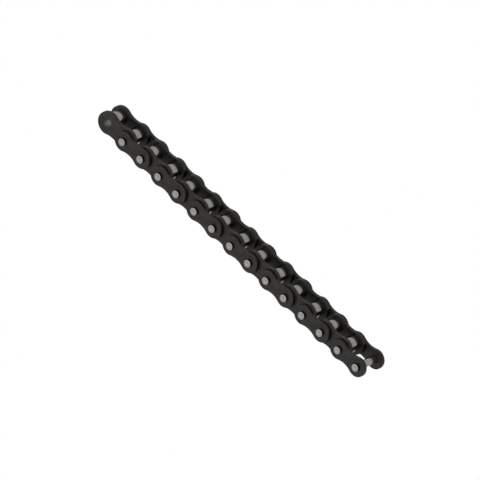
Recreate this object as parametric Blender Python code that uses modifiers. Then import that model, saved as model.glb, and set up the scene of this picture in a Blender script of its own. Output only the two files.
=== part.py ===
"""A straight length of motorcycle drive chain, laid on its side with its pins upright.

Inner links (two plates pressed onto two bushings, with a free roller round each bushing)
alternate with outer links (two plates riveted onto two pins). Pivot 1 is the open bushing end,
at +X, and the chain runs from it towards -X. Link n joins pivot n to pivot n + 1, so odd links
are inner links and even links are outer links. Lengths are in metres, and +Z is up.
"""

from math import atan2, cos, pi, radians, sin

import bmesh
import bpy

# Driving dimensions
PITCH = 0.015875
LINKS = 14
INNER_WIDTH = 0.0098
INNER_PLATE_THICKNESS = 0.0026
OUTER_PLATE_THICKNESS = 0.0022
INNER_PLATE_HEIGHT = 0.0148
OUTER_PLATE_HEIGHT = 0.0128
INNER_WAIST_HEIGHT = 0.0116
OUTER_WAIST_HEIGHT = 0.0093
PIN_LENGTH = 0.02285
PIN_DIAMETER = 0.0049
PIN_CHAMFER = 0.0003
BUSHING_DIAMETER = 0.0071
BUSHING_INSET = 0.0001
ROLLER_DIAMETER = 0.01016
ROLLER_CHAMFER = 0.0004
SIDE_PLAY = 0.00015
RUNNING_CLEARANCE = 0.00005
PRESSED_CLEARANCE = 0.00002

# How finely the round shapes are divided
ROUND_STEPS = 16
PLATE_END_STEPS = 14
PLATE_WAIST_STEPS = 4
WELD_DISTANCE = 0.000001
SHARP_ANGLE = radians(40)

# Worked out from the driving dimensions
FLAT_SHARE = cos(pi / ROUND_STEPS)
PIN_RADIUS = PIN_DIAMETER / 2
BUSHING_RADIUS = BUSHING_DIAMETER / 2
BUSHING_BORE_RADIUS = (PIN_RADIUS + RUNNING_CLEARANCE) / FLAT_SHARE
BUSHING_LENGTH = INNER_WIDTH + 2 * (INNER_PLATE_THICKNESS - BUSHING_INSET)
ROLLER_BORE_RADIUS = (BUSHING_RADIUS + RUNNING_CLEARANCE) / FLAT_SHARE
ROLLER_LENGTH = INNER_WIDTH - 2 * SIDE_PLAY
INNER_PLATE_LEVEL = (INNER_WIDTH + INNER_PLATE_THICKNESS) / 2
OUTER_PLATE_LEVEL = INNER_PLATE_LEVEL + SIDE_PLAY + (INNER_PLATE_THICKNESS + OUTER_PLATE_THICKNESS) / 2
OVERALL_LENGTH = LINKS * PITCH + (INNER_PLATE_HEIGHT + OUTER_PLATE_HEIGHT) / 2
FIRST_PIVOT_X = (OVERALL_LENGTH - INNER_PLATE_HEIGHT) / 2
MIDDLE_Z = PIN_LENGTH / 2


def clear_scene():
    for thing in list(bpy.data.objects):
        bpy.data.objects.remove(thing)


def new_collection(name):
    collection = bpy.data.collections.new(name)
    bpy.context.scene.collection.children.link(collection)
    return collection


def add_object(collection, name, data, location=(0, 0, 0), parent=None):
    thing = bpy.data.objects.new(name, data)
    collection.objects.link(thing)
    thing.location = location
    thing.parent = parent
    return thing


def new_material(name, colour, roughness, metallic):
    material = bpy.data.materials.new(name)
    material.use_nodes = True
    shader = material.node_tree.nodes["Principled BSDF"]
    shader.inputs["Base Color"].default_value = (*colour, 1)
    shader.inputs["Roughness"].default_value = roughness
    shader.inputs["Metallic"].default_value = metallic
    return material


def taken_mesh(thing):
    """The object's final shape as one welded mesh. The object itself is removed."""
    graph = bpy.context.evaluated_depsgraph_get()
    mesh = bpy.data.meshes.new_from_object(thing.evaluated_get(graph))
    bpy.data.objects.remove(thing)
    work = bmesh.new()
    work.from_mesh(mesh)
    bmesh.ops.remove_doubles(work, verts=work.verts, dist=WELD_DISTANCE)
    work.to_mesh(mesh)
    work.free()
    return mesh


def finished(mesh, name, material):
    mesh.name = name
    mesh.shade_smooth()
    mesh.set_sharp_from_angle(angle=SHARP_ANGLE)
    mesh.materials.clear()
    mesh.materials.append(material)
    return mesh


def arc(centre_x, centre_y, radius, start, end, steps):
    """Points along an arc, from its start up to but not including its end."""
    turns = [start + (end - start) * step / steps for step in range(steps)]
    return [(centre_x + radius * cos(turn), centre_y + radius * sin(turn)) for turn in turns]


def plate_outline(height, waist_height):
    """A figure of eight: two round ends, joined by two hollow arcs that meet them smoothly."""
    half = PITCH / 2
    end_radius = height / 2
    waist = waist_height / 2
    hollow_radius = (half**2 + waist**2 - end_radius**2) / (2 * (end_radius - waist))
    hollow_y = waist + hollow_radius
    lean = atan2(hollow_y, half)
    right = arc(half, 0, end_radius, lean - pi, pi - lean, PLATE_END_STEPS)
    top = arc(0, hollow_y, hollow_radius, -lean, lean - pi, PLATE_WAIST_STEPS)
    left = arc(-half, 0, end_radius, lean, 2 * pi - lean, PLATE_END_STEPS)
    bottom = arc(0, -hollow_y, hollow_radius, pi - lean, lean, PLATE_WAIST_STEPS)
    return right + top + left + bottom


def plate_mesh(collection, height, waist_height, thickness, hole_radius):
    """A stamped plate, made from its flat outline with a round hole at each pivot."""
    curve = bpy.data.curves.new("Plate outline", "CURVE")
    curve.dimensions = "2D"
    curve.fill_mode = "BOTH"
    curve.extrude = thickness / 2
    holes = [arc(x, 0, hole_radius, 0, 2 * pi, ROUND_STEPS) for x in (-PITCH / 2, PITCH / 2)]
    for loop in [plate_outline(height, waist_height), *holes]:
        spline = curve.splines.new("POLY")
        spline.points.add(len(loop) - 1)
        for point, (x, y) in zip(spline.points, loop):
            point.co = (x, y, 0, 1)
        spline.use_cyclic_u = True
    return taken_mesh(add_object(collection, "Plate outline", curve))


def turned_mesh(collection, profile, is_tube=False):
    """A turned piece. The profile's points are (radius, z), down its outer side from the top."""
    edges = [(step, step + 1) for step in range(len(profile) - 1)]
    if is_tube:
        edges.append((len(profile) - 1, 0))
    mesh = bpy.data.meshes.new("Profile")
    mesh.from_pydata([(radius, 0, z) for radius, z in profile], edges, [])
    turning = add_object(collection, "Turning", mesh)
    screw = turning.modifiers.new("Turn", "SCREW")
    screw.steps = ROUND_STEPS
    screw.render_steps = ROUND_STEPS
    screw.use_merge_vertices = True
    screw.merge_threshold = WELD_DISTANCE
    return taken_mesh(turning)


def bushing_mesh(collection):
    top = BUSHING_LENGTH / 2
    outer_side = [(BUSHING_RADIUS, top), (BUSHING_RADIUS, -top)]
    bore = [(BUSHING_BORE_RADIUS, -top), (BUSHING_BORE_RADIUS, top)]
    return turned_mesh(collection, outer_side + bore, is_tube=True)


def roller_mesh(collection):
    radius = ROLLER_DIAMETER / 2
    top = ROLLER_LENGTH / 2
    outer_side = [
        (radius - ROLLER_CHAMFER, top),
        (radius, top - ROLLER_CHAMFER),
        (radius, ROLLER_CHAMFER - top),
        (radius - ROLLER_CHAMFER, -top),
    ]
    bore = [(ROLLER_BORE_RADIUS, -top), (ROLLER_BORE_RADIUS, top)]
    return turned_mesh(collection, outer_side + bore, is_tube=True)


def pin_mesh(collection):
    top = PIN_LENGTH / 2
    profile = [
        (0, top),
        (PIN_RADIUS - PIN_CHAMFER, top),
        (PIN_RADIUS, top - PIN_CHAMFER),
        (PIN_RADIUS, PIN_CHAMFER - top),
        (PIN_RADIUS - PIN_CHAMFER, -top),
        (0, -top),
    ]
    return turned_mesh(collection, profile)


def inner_plate_mesh(collection, hole_radius):
    return plate_mesh(
        collection, INNER_PLATE_HEIGHT, INNER_WAIST_HEIGHT, INNER_PLATE_THICKNESS, hole_radius
    )


def outer_plate_mesh(collection):
    return plate_mesh(
        collection,
        OUTER_PLATE_HEIGHT,
        OUTER_WAIST_HEIGHT,
        OUTER_PLATE_THICKNESS,
        PIN_RADIUS + PRESSED_CLEARANCE,
    )


def bushed_plate_mesh(parts, helpers):
    """An inner plate with the link's two bushings pressed into it, standing up from it."""
    hidden_wall = (BUSHING_RADIUS + BUSHING_BORE_RADIUS) / 2
    plate = add_object(parts, "Bushed plate", inner_plate_mesh(parts, hidden_wall))
    plate.location.z = -INNER_PLATE_LEVEL
    bushings = []
    for x in (-PITCH / 2, PITCH / 2):
        bushing = add_object(helpers, "Bushing", bushing_mesh(parts), (x, 0, 0))
        bushing.hide_render = True
        bushing.display_type = "WIRE"
        union = plate.modifiers.new("Press fit", "BOOLEAN")
        union.operation = "UNION"
        union.object = bushing
        bushings.append(bushing)
    mesh = taken_mesh(plate)
    for bushing in bushings:
        bpy.data.objects.remove(bushing)
    return mesh


def add_inner_link(parts, number, axis, meshes):
    """Two plates on two bushings. The lower plate carries the bushings."""
    middle = -PITCH / 2
    lower = (middle, 0, -INNER_PLATE_LEVEL)
    upper = (middle, 0, INNER_PLATE_LEVEL)
    add_object(parts, f"bushed_plate_{number:02}", meshes["bushed_plate"], lower, axis)
    add_object(parts, f"inner_plate_{number:02}", meshes["inner_plate"], upper, axis)
    for pivot, x in ((number, 0), (number + 1, -PITCH)):
        add_object(parts, f"roller_{pivot:02}", meshes["roller"], (x, 0, 0), axis)


def add_outer_link(parts, number, axis, meshes):
    """Two plates riveted onto two pins."""
    middle = -PITCH / 2
    for side, level in (("lower", -OUTER_PLATE_LEVEL), ("upper", OUTER_PLATE_LEVEL)):
        place = (middle, 0, level)
        add_object(parts, f"outer_plate_{number:02}_{side}", meshes["outer_plate"], place, axis)
    for pivot, x in ((number, 0), (number + 1, -PITCH)):
        add_object(parts, f"pin_{pivot:02}", meshes["pin"], (x, 0, 0), axis)


def make_meshes(parts, helpers):
    black = new_material("Black oxide plate", (0.035, 0.034, 0.032), 0.45, 0.6)
    bright = new_material("Ground pin", (0.52, 0.52, 0.5), 0.3, 1)
    polished = new_material("Polished roller", (0.6, 0.59, 0.57), 0.25, 1)
    bushed = bushed_plate_mesh(parts, helpers)
    inner = inner_plate_mesh(parts, BUSHING_RADIUS + PRESSED_CLEARANCE)
    return {
        "bushed_plate": finished(bushed, "bushed_plate", black),
        "inner_plate": finished(inner, "inner_plate", black),
        "outer_plate": finished(outer_plate_mesh(parts), "outer_plate", black),
        "pin": finished(pin_mesh(parts), "pin", bright),
        "roller": finished(roller_mesh(parts), "roller", polished),
    }


def main():
    clear_scene()
    parts = new_collection("drive_chain")
    helpers = new_collection("helpers")
    meshes = make_meshes(parts, helpers)
    axis = None
    for number in range(1, LINKS + 1):
        # Each link hangs from an empty on its first pivot, which the link before it carries.
        place = (-PITCH, 0, 0) if axis else (FIRST_PIVOT_X, 0, MIDDLE_Z)
        axis = add_object(parts, f"link_{number:02}_pivot", None, place, axis)
        axis.empty_display_size = PITCH / 4
        if number % 2:
            add_inner_link(parts, number, axis, meshes)
        else:
            add_outer_link(parts, number, axis, meshes)


main()
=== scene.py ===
"""The drive chain's looks: stamped black plates, riveted pins, bushings and ground rollers.

The chain lies on its side, with its pins upright along Z and its open bushing end at +X.
Link n joins pivot n to pivot n + 1. Odd links are inner links and even links are outer links.
Every piece is made about its own middle, and its patterns are placed from there.
"""

from math import atan2, cos, pi, radians, sin

import bmesh
import bpy
from mathutils import Matrix, Vector


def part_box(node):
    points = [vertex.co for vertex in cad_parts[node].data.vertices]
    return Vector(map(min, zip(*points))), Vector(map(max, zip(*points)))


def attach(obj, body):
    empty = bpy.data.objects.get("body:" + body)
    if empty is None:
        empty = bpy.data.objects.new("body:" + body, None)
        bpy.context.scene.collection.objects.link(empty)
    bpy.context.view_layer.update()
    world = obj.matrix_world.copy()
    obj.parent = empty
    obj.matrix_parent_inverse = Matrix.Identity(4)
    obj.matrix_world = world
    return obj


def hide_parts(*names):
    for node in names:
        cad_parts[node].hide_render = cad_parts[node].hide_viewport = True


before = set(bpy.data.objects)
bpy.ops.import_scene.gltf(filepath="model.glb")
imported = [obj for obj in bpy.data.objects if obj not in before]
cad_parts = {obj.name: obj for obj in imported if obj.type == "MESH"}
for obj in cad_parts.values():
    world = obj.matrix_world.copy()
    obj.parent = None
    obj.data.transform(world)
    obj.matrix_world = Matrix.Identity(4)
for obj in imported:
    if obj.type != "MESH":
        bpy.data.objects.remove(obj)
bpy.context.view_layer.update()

MM = 0.001
LINKS = 14


def size_of(node):
    low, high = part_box(node)
    return high - low


def middle_of(node):
    low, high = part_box(node)
    return (low + high) / 2


# Sizes that the frame gives
PITCH = (middle_of("roller_01") - middle_of("roller_02")).x
FIRST_PIVOT_X = middle_of("roller_01").x
MIDDLE_Z = middle_of("pin_02").z
INNER_THICKNESS = size_of("inner_plate_01").z
OUTER_THICKNESS = size_of("outer_plate_02_upper").z
INNER_END_RADIUS = (size_of("inner_plate_01").x - PITCH) / 2
OUTER_END_RADIUS = (size_of("outer_plate_02_upper").x - PITCH) / 2
INNER_LEVEL = middle_of("inner_plate_01").z - MIDDLE_Z
OUTER_LEVEL = middle_of("outer_plate_02_upper").z - MIDDLE_Z
PIN_RADIUS = size_of("pin_02").x / 2
PIN_LENGTH = size_of("pin_02").z
ROLLER_RADIUS = size_of("roller_01").x / 2
ROLLER_LENGTH = size_of("roller_01").z

# Sizes that only the looks need. A rim is how far a piece's edges are rounded or chamfered.
INNER_WAIST = 0.784 * INNER_END_RADIUS
OUTER_WAIST = 0.727 * OUTER_END_RADIUS
PRESSED_GAP = 0.01 * MM
RUNNING_GAP = 0.06 * MM
PLATE_RIM = 0.2 * MM
BUSHING_RADIUS = 3.55 * MM
BUSHING_BORE = 2.5 * MM
BUSHING_RIM = 0.15 * MM
BUSHING_INSET = 0.1 * MM
BUSHING_LENGTH = 2 * INNER_LEVEL + INNER_THICKNESS - 2 * BUSHING_INSET
ROLLER_BORE = BUSHING_RADIUS + RUNNING_GAP
ROLLER_RIM = 0.4 * MM
PIN_RIM = 0.18 * MM
DIMPLE_RADIUS = 0.9 * MM
DIMPLE_DEPTH = 0.1 * MM
TOOL_FEED = 0.45 * MM
FLOOR_HALF_WIDTH = 4

# How finely the round shapes are divided
END_STEPS = 40
WAIST_STEPS = 14
HOLE_STEPS = 48
TURN_STEPS = 64
RIM_STEPS = 4
DIMPLE_STEPS = 4

# Edges of turned pieces above this angle stay sharp
SHARP_ANGLE = radians(35)
# Plate faces whose normal has at least this much Z are shaded flat
FLAT_ENOUGH = 0.999
# Points closer than this are one point
WELD_DISTANCE = 0.001 * MM


def pivot_x(pivot):
    return FIRST_PIVOT_X - (pivot - 1) * PITCH


def add_object(name, data, place=(0, 0, 0)):
    thing = bpy.data.objects.new(name, data)
    bpy.context.scene.collection.objects.link(thing)
    thing.location = place
    return thing


def taken_mesh(thing):
    """The object's final shape as a mesh of its own. The object itself is removed."""
    graph = bpy.context.evaluated_depsgraph_get()
    mesh = bpy.data.meshes.new_from_object(thing.evaluated_get(graph))
    bpy.data.objects.remove(thing)
    return mesh


def weld(mesh):
    """Joins points that lie together and turns every face outwards."""
    work = bmesh.new()
    work.from_mesh(mesh)
    bmesh.ops.remove_doubles(work, verts=work.verts, dist=WELD_DISTANCE)
    bmesh.ops.recalc_face_normals(work, faces=work.faces)
    work.to_mesh(mesh)
    work.free()


# Shapes


def arc(centre, radius, start, end, steps, include_end=False):
    """Points along an arc of a circle, in a plane."""
    turns = [start + (end - start) * step / steps for step in range(steps + include_end)]
    return [(centre[0] + radius * cos(turn), centre[1] + radius * sin(turn)) for turn in turns]


def plate_outline(end_radius, waist):
    """A figure of eight: two round ends, joined by two hollow arcs that meet them smoothly."""
    half = PITCH / 2
    hollow_radius = (half**2 + waist**2 - end_radius**2) / (2 * (end_radius - waist))
    hollow_y = waist + hollow_radius
    lean = atan2(hollow_y, half)
    right = arc((half, 0), end_radius, lean - pi, pi - lean, END_STEPS)
    top = arc((0, hollow_y), hollow_radius, -lean, lean - pi, WAIST_STEPS)
    left = arc((-half, 0), end_radius, lean, 2 * pi - lean, END_STEPS)
    bottom = arc((0, -hollow_y), hollow_radius, pi - lean, lean, WAIST_STEPS)
    return right + top + left + bottom


def plate_mesh(name, end_radius, waist, thickness, hole_radius):
    """A stamped plate with rounded rims, about the middle of its link."""
    curve = bpy.data.curves.new(name, "CURVE")
    curve.dimensions = "2D"
    curve.fill_mode = "BOTH"
    curve.extrude = thickness / 2 - PLATE_RIM
    curve.bevel_depth = PLATE_RIM
    curve.bevel_resolution = RIM_STEPS
    curve.offset = -PLATE_RIM
    holes = [arc((x, 0), hole_radius, 0, 2 * pi, HOLE_STEPS) for x in (-PITCH / 2, PITCH / 2)]
    for loop in [plate_outline(end_radius, waist), *holes]:
        spline = curve.splines.new("POLY")
        spline.points.add(len(loop) - 1)
        for point, (x, y) in zip(spline.points, loop):
            point.co = (x, y, 0, 1)
        spline.use_cyclic_u = True
    mesh = taken_mesh(add_object(name, curve))
    weld(mesh)
    for face in mesh.polygons:
        face.use_smooth = abs(face.normal.z) < FLAT_ENOUGH
    mesh.name = name
    return mesh


def rounded_corner(radius, z, rim, start):
    """A quarter turn that rounds an outer corner at (radius, z), from the start angle down."""
    centre = (radius - rim, z - rim if start > 0 else z + rim)
    return arc(centre, rim, start, start - pi / 2, RIM_STEPS, include_end=True)


def turned_mesh(name, profile, is_tube=False):
    """A turned piece. The profile's points are (radius, z), down its outer side from the top."""
    edges = [(step, step + 1) for step in range(len(profile) - 1)]
    if is_tube:
        edges.append((len(profile) - 1, 0))
    line = bpy.data.meshes.new(name)
    line.from_pydata([(radius, 0, z) for radius, z in profile], edges, [])
    turning = add_object(name, line)
    screw = turning.modifiers.new("Turn", "SCREW")
    screw.steps = TURN_STEPS
    screw.render_steps = TURN_STEPS
    screw.use_merge_vertices = True
    screw.merge_threshold = WELD_DISTANCE
    mesh = taken_mesh(turning)
    weld(mesh)
    mesh.shade_smooth()
    mesh.set_sharp_from_angle(angle=SHARP_ANGLE)
    mesh.name = name
    return mesh


def outer_side(radius, top, rim):
    """The outer wall of a turned piece from its upper edge to its lower one, both rounded."""
    return rounded_corner(radius, top, rim, pi / 2) + rounded_corner(radius, -top, rim, 0)


def bore_side(radius, top, rim):
    """The wall of a bore from its lower edge to its upper one, both chamfered."""
    return [(radius + rim, -top), (radius, rim - top), (radius, top - rim), (radius + rim, top)]


def roller_mesh():
    top = ROLLER_LENGTH / 2
    profile = outer_side(ROLLER_RADIUS, top, ROLLER_RIM) + [(ROLLER_BORE, -top), (ROLLER_BORE, top)]
    return turned_mesh("roller", profile, is_tube=True)


def bushing_mesh():
    top = BUSHING_LENGTH / 2
    profile = outer_side(BUSHING_RADIUS, top, BUSHING_RIM) + bore_side(BUSHING_BORE, top, BUSHING_RIM)
    return turned_mesh("bushing", profile, is_tube=True)


def pin_mesh():
    """A riveted pin. Each rounded end has the shallow dimple that the riveting punch leaves."""
    top = PIN_LENGTH / 2
    shares = [step / DIMPLE_STEPS for step in range(DIMPLE_STEPS + 1)]
    dimple = [(DIMPLE_RADIUS * share, top - DIMPLE_DEPTH * (1 - share**2)) for share in shares]
    upper = dimple + rounded_corner(PIN_RADIUS, top, PIN_RIM, pi / 2)
    lower = [(radius, -z) for radius, z in reversed(upper)]
    return turned_mesh("pin", upper + lower)


# Materials


class Look:
    """A material's node tree, with short ways to add the nodes that the looks share."""

    def __init__(self, name):
        self.material = bpy.data.materials.new(name)
        self.material.use_nodes = True
        self.tree = self.material.node_tree
        self.shader = self.tree.nodes["Principled BSDF"]
        self.place = self.tree.nodes.new("ShaderNodeTexCoord").outputs["Object"]

    def put(self, socket, value):
        if isinstance(value, bpy.types.NodeSocket):
            self.tree.links.new(value, socket)
        else:
            socket.default_value = value

    def set(self, **values):
        for name, value in values.items():
            self.put(self.shader.inputs[name.replace("_", " ")], value)

    def math(self, operation, first, second=0.0):
        node = self.tree.nodes.new("ShaderNodeMath")
        node.operation = operation
        self.put(node.inputs[0], first)
        self.put(node.inputs[1], second)
        return node.outputs[0]

    def length(self, x, y):
        """The distance from the origin to (x, y)."""
        squares = [self.math("MULTIPLY", value, value) for value in (x, y)]
        return self.math("SQRT", self.math("ADD", *squares))

    def noise(self, size, detail=4, stretch=(1, 1, 1)):
        """Noise from 0 to 1 with features about as large as size, longer along a stretched axis."""
        mapping = self.tree.nodes.new("ShaderNodeMapping")
        mapping.inputs["Scale"].default_value = [1 / (size * long) for long in stretch]
        self.put(mapping.inputs["Vector"], self.place)
        node = self.tree.nodes.new("ShaderNodeTexNoise")
        node.inputs["Scale"].default_value = 1
        node.inputs["Detail"].default_value = detail
        self.put(node.inputs["Vector"], mapping.outputs[0])
        return node.outputs["Fac"]

    def rings(self):
        """Fine rings round a turned piece, as a lathe or a grinding wheel leaves them."""
        return self.noise(0.12 * MM, 3, stretch=(60, 60, 1))

    def ramp(self, value, low, high, to_low=0.0, to_high=1.0):
        """A smooth rise from to_low to to_high, as the value goes from low to high."""
        node = self.tree.nodes.new("ShaderNodeMapRange")
        node.interpolation_type = "SMOOTHSTEP"
        node.inputs["From Min"].default_value = low
        node.inputs["From Max"].default_value = high
        node.inputs["To Min"].default_value = to_low
        node.inputs["To Max"].default_value = to_high
        self.put(node.inputs["Value"], value)
        return node.outputs[0]

    def mix(self, share, first, second):
        """The first colour where the share is 0, and the second where it is 1."""
        node = self.tree.nodes.new("ShaderNodeMix")
        node.data_type = "RGBA"
        self.put(node.inputs[0], share)
        self.put(node.inputs[6], first)
        self.put(node.inputs[7], second)
        return node.outputs[2]

    def axes(self, vector):
        node = self.tree.nodes.new("ShaderNodeSeparateXYZ")
        self.put(node.inputs[0], vector)
        return node.outputs

    def facing_axis(self):
        """How far the surface faces along the pins: 1 on a flat face and 0 on a side wall."""
        normal = self.tree.nodes.new("ShaderNodeTexCoord").outputs["Normal"]
        return self.math("ABSOLUTE", self.axes(normal)[2])

    def rims(self, grain):
        """1 on the rounded rims between flat faces and side walls, worn unevenly, and 0 elsewhere."""
        facing = self.facing_axis()
        rounded = self.math("MULTIPLY", self.ramp(facing, 0.2, 0.6), self.ramp(facing, 0.9, 0.99, 1, 0))
        return self.math("MULTIPLY", rounded, self.ramp(grain, 0.35, 0.65, 0.3, 1))

    def bump(self, height, depth, strength):
        node = self.tree.nodes.new("ShaderNodeBump")
        node.inputs["Distance"].default_value = depth
        node.inputs["Strength"].default_value = strength
        self.put(node.inputs["Height"], height)
        self.put(self.shader.inputs["Normal"], node.outputs[0])


def grey(value, warmth):
    """A grey of the brightness, with red raised and blue lowered by the warmth's share."""
    return (value * (1 + warmth), value, value * (1 - warmth), 1)


def black_oxide(name):
    """Blackened spring steel: a fine satin grain, faint blotches, worn rims, and side walls streaked by
    shearing and painted darker than the faces as shade.
    """
    look = Look(name)
    grain = look.noise(0.35 * MM, 5)
    blotches = look.noise(5 * MM, 3)
    sheared = look.noise(0.25 * MM, 3, stretch=(1, 1, 14))
    flat = look.ramp(look.facing_axis(), 0.3, 0.8)
    worn = look.rims(grain)
    tone = look.mix(look.ramp(blotches, 0.35, 0.65), grey(0.006, 0.05), grey(0.013, 0.07))
    speckled = look.mix(look.ramp(grain, 0.55, 0.75, 0, 0.5), tone, grey(0.02, 0.04))
    # Painted shade: the side walls get a darker colour than the flat faces. The streaks are the shearing's
    # own.
    wall = look.mix(look.ramp(sheared, 0.4, 0.7), grey(0.004, 0.03), grey(0.009, 0.03))
    oxide = look.mix(flat, wall, speckled)
    look.set(
        Base_Color=look.mix(look.math("MULTIPLY", worn, 0.3), oxide, grey(0.1, 0.03)),
        Metallic=look.math("MULTIPLY", worn, 0.5),
        Roughness=look.ramp(look.math("ADD", grain, blotches), 0.7, 1.3, 0.24, 0.46),
        Specular_IOR_Level=0.44,
        Specular_Tint=(1, 0.96, 0.9, 1),
    )
    look.bump(look.mix(flat, sheared, grain), 0.014 * MM, 0.6)
    return look.material


def ground_roller(name):
    """Ground steel, bright as a mirror, with fine rings round it, patchy oil, and ends painted dark as the
    shade where they meet the plates.
    """
    look = Look(name)
    rings = look.rings()
    film = look.noise(2.2 * MM, 4)
    tint = look.mix(look.ramp(film, 0.35, 0.7), grey(0.46, 0.04), grey(0.38, 0.07))
    shade = look.mix(look.ramp(rings, 0.35, 0.7, 0, 0.4), tint, grey(0.3, 0.03))
    look.set(
        # Painted shade: the ends and the outer part of their rounded rims, which face the plates, are
        # coloured dark.
        Base_Color=look.mix(look.ramp(look.facing_axis(), 0.6, 0.95), shade, grey(0.1, 0.04)),
        Metallic=1,
        Roughness=look.ramp(look.math("ADD", film, rings), 0.7, 1.3, 0.1, 0.22),
    )
    look.bump(rings, 0.002 * MM, 0.5)
    return look.material


def riveted_pin(name):
    """Bright punched ends, and a ground side that is painted dark as shade where it stands out of its
    plate.
    """
    look = Look(name)
    x, y, z = look.axes(look.place)
    out = look.length(x, y)
    height = look.math("ABSOLUTE", z)
    grain = look.noise(0.25 * MM, 5)
    rings = look.rings()
    plates_edge = OUTER_LEVEL - OUTER_THICKNESS / 2
    # Painted shade: the side of the pin that stands out of the outer plate is coloured dark.
    painted_shade_band = look.ramp(height, plates_edge - 0.1 * MM, plates_edge + 0.1 * MM)
    end_face = look.ramp(look.facing_axis(), 0.35, 0.75)
    side = look.mix(look.ramp(rings, 0.3, 0.7), grey(0.5, 0.03), grey(0.4, 0.05))
    side = look.mix(painted_shade_band, side, grey(0.05, 0.03))
    turned = look.ramp(look.math("SINE", look.math("MULTIPLY", out, 2 * pi / TOOL_FEED)), -1, 1)
    face = look.mix(look.math("MULTIPLY", turned, grain), grey(0.42, 0.015), grey(0.32, 0.025))
    side_roughness = look.ramp(rings, 0.3, 0.7, 0.14, 0.24)
    face_roughness = look.ramp(grain, 0.3, 0.7, 0.3, 0.45)
    look.set(
        Base_Color=look.mix(end_face, side, face),
        Metallic=1,
        Roughness=look.mix(end_face, side_roughness, face_roughness),
    )
    look.bump(look.mix(end_face, rings, grain), 0.006 * MM, 0.5)
    return look.material


def pressed_bushing(name):
    """Dark ends that match the plates, with a bright steel bore and wall."""
    look = Look(name)
    grain = look.noise(0.3 * MM, 4)
    rings = look.rings()
    wall = look.mix(look.ramp(rings, 0.3, 0.7), grey(0.66, 0.0), grey(0.58, 0.01))
    end = look.mix(look.ramp(grain, 0.4, 0.7), grey(0.009, 0.05), grey(0.018, 0.04))
    end_face = look.ramp(look.facing_axis(), 0.3, 0.6)
    wall_roughness = look.ramp(rings, 0.3, 0.7, 0.25, 0.35)
    end_roughness = look.ramp(grain, 0.3, 0.7, 0.28, 0.42)
    look.set(
        Base_Color=look.mix(end_face, wall, end),
        Metallic=look.math("SUBTRACT", 1, end_face),
        Roughness=look.mix(end_face, wall_roughness, end_roughness),
    )
    look.bump(look.mix(end_face, rings, grain), 0.001 * MM, 0.3)
    return look.material


# Pieces


def add_piece(name, mesh, place, body, slot, *nodes):
    """A visible piece that moves with a body and takes the place of CAD nodes."""
    piece = add_object(name, mesh, place)
    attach(piece, body)
    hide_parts(*nodes)
    return piece


def dressed(mesh, material):
    """The mesh, with the material on all of it."""
    mesh.materials.clear()
    mesh.materials.append(material)
    return mesh


def make_meshes():
    """One mesh for each kind of piece, with its material."""
    bushing_hole = BUSHING_RADIUS + PRESSED_GAP
    pin_hole = PIN_RADIUS + PRESSED_GAP
    inner = plate_mesh("inner_plate", INNER_END_RADIUS, INNER_WAIST, INNER_THICKNESS, bushing_hole)
    outer = plate_mesh("outer_plate", OUTER_END_RADIUS, OUTER_WAIST, OUTER_THICKNESS, pin_hole)
    black = black_oxide("black_oxide")
    return {
        "inner_plate": dressed(inner, black),
        "outer_plate": dressed(outer, black),
        "bushing": dressed(bushing_mesh(), pressed_bushing("bushing_steel")),
        "roller": dressed(roller_mesh(), ground_roller("ground_roller_steel")),
        "pin": dressed(pin_mesh(), riveted_pin("riveted_pin_steel")),
    }


def add_inner_link(number, meshes):
    body = f"link_{number:02}"
    middle = (pivot_x(number) + pivot_x(number + 1)) / 2
    bushed = f"bushed_plate_{number:02}"
    plain = f"inner_plate_{number:02}"
    for side, level, node in (("lower", -INNER_LEVEL, bushed), ("upper", INNER_LEVEL, plain)):
        place = (middle, 0, MIDDLE_Z + level)
        name = f"roller_plate_{number:02}_{side}"
        add_piece(name, meshes["inner_plate"], place, body, "black_plate", node)
    for pivot in (number, number + 1):
        place = (pivot_x(pivot), 0, MIDDLE_Z)
        add_piece(f"bushing_{pivot:02}", meshes["bushing"], place, body, "pin_steel", bushed)
        roller = f"roller_{pivot:02}"
        add_piece(f"ground_{roller}", meshes["roller"], place, roller, "roller_steel", roller)


def add_outer_link(number, meshes):
    body = f"link_{number:02}"
    middle = (pivot_x(number) + pivot_x(number + 1)) / 2
    for side, level in (("lower", -OUTER_LEVEL), ("upper", OUTER_LEVEL)):
        node = f"outer_plate_{number:02}_{side}"
        place = (middle, 0, MIDDLE_Z + level)
        name = f"pin_plate_{number:02}_{side}"
        add_piece(name, meshes["outer_plate"], place, body, "black_plate", node)
    for pivot in (number, number + 1):
        place = (pivot_x(pivot), 0, MIDDLE_Z)
        add_piece(f"riveted_pin_{pivot:02}", meshes["pin"], place, body, "pin_steel", f"pin_{pivot:02}")


# Studio


def glowing(tree, kind, output, strength):
    """An even white glow. The camera sees it as pure white, and everything else is lit at the strength."""
    glow, white = tree.nodes.new(kind), tree.nodes.new(kind)
    for shader, level in ((glow, strength), (white, 1)):
        shader.inputs["Color"].default_value = (1, 1, 1, 1)
        shader.inputs["Strength"].default_value = level
    seen = tree.nodes.new("ShaderNodeLightPath")
    choice = tree.nodes.new("ShaderNodeMixShader")
    tree.links.new(seen.outputs["Is Camera Ray"], choice.inputs[0])
    tree.links.new(glow.outputs[0], choice.inputs[1])
    tree.links.new(white.outputs[0], choice.inputs[2])
    tree.links.new(choice.outputs[0], tree.nodes[output].inputs["Surface"])


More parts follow.
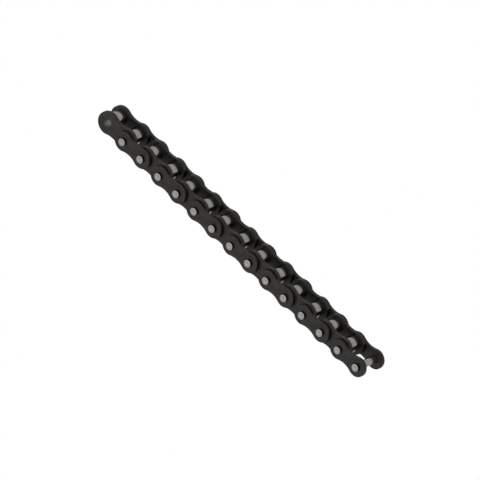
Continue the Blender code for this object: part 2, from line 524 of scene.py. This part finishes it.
def add_light_table(strength):
    """A floor of white acrylic, lit from below so that it shows no shadows."""
    material = bpy.data.materials.new("lit_acrylic")
    material.use_nodes = True
    glowing(material.node_tree, "ShaderNodeEmission", "Material Output", strength)
    work = bmesh.new()
    bmesh.ops.create_grid(work, x_segments=1, y_segments=1, size=FLOOR_HALF_WIDTH)
    mesh = bpy.data.meshes.new("floor")
    work.to_mesh(mesh)
    work.free()
    mesh.materials.append(material)
    floor = add_object("floor", mesh)


def add_soft_light(name, direction, distance, size, power):
    """A large square lamp that faces the chain from a direction."""
    data = bpy.data.lights.new(name, "AREA")
    data.size = size
    data.energy = power
    lamp = bpy.data.objects.new(name, data)
    bpy.context.scene.collection.objects.link(lamp)
    way = Vector(direction).normalized()
    lamp.location = Vector((0, 0, MIDDLE_Z)) + way * distance
    lamp.rotation_mode = "QUATERNION"
    lamp.rotation_quaternion = way.to_track_quat("Z", "Y")


def add_sky(strength):
    """An even white surrounding."""
    world = bpy.data.worlds.new("Studio")
    world.use_nodes = True
    glowing(world.node_tree, "ShaderNodeBackground", "World Output", strength)
    bpy.context.scene.world = world


def add_camera(azimuth, elevation, roll, across, right, up):
    """A parallel camera. Its width and its middle's offset from the chain's are in pitches."""
    turn, lift = radians(azimuth), radians(elevation)
    back = Vector((sin(turn) * cos(lift), -cos(turn) * cos(lift), sin(lift)))
    side = Vector((cos(turn), sin(turn), 0))
    level = Matrix((side, back.cross(side), back)).transposed()
    facing = level @ Matrix.Rotation(radians(roll), 3, "Z")
    offset = facing @ Vector((right * PITCH, up * PITCH, 1))
    data = bpy.data.cameras.new("Camera")
    data.type = "ORTHO"
    data.ortho_scale = across * PITCH
    camera = bpy.data.objects.new("Camera", data)
    bpy.context.scene.collection.objects.link(camera)
    camera.matrix_world = Matrix.Translation(Vector((0, 0, MIDDLE_Z)) + offset) @ facing.to_4x4()
    bpy.context.scene.camera = camera


def main():
    meshes = make_meshes()
    for number in range(1, LINKS + 1, 2):
        add_inner_link(number, meshes)
    for number in range(2, LINKS + 1, 2):
        add_outer_link(number, meshes)
    add_light_table(strength=0.55)
    add_sky(strength=0.58)
    add_soft_light("Key light", direction=(0.3, -0.1, 0.95), distance=0.8, size=0.9, power=2.5)
    add_camera(azimuth=-28.924, elevation=47.655, roll=-113.75, across=18.185, right=-0.0071, up=0.0298)
    bpy.context.scene.view_settings.view_transform = "Standard"


main()
